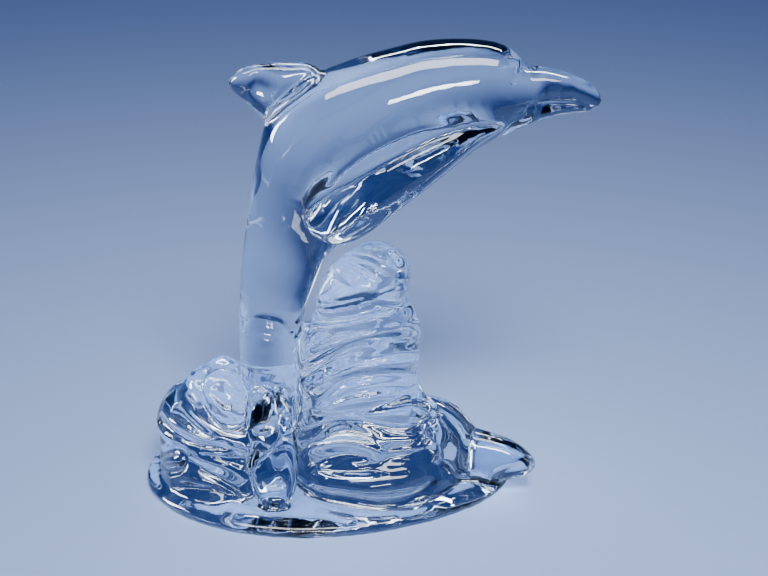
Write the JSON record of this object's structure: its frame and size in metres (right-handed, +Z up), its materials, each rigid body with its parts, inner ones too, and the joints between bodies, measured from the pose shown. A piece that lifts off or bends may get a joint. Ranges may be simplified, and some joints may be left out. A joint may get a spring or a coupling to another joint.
{
  "type": "crystal dolphin figurine",
  "caption": "Clear pressed-crystal dolphin leaping over breaking waves, with a small dolphin's head beside it, on an oval base.",
  "frame": {"origin": "on the table, under the middle of the piece's bounding box", "axes": "+X is the way the dolphin faces, -Y is the side shown to the viewer, +Z is up"},
  "size_m": [0.1234, 0.0786, 0.125],
  "materials": {
    "crystal": "clear polished crystal"
  },
  "bodies": {
    "root": {"crystal_dolphin": "crystal"}
  },
  "joints": []
}
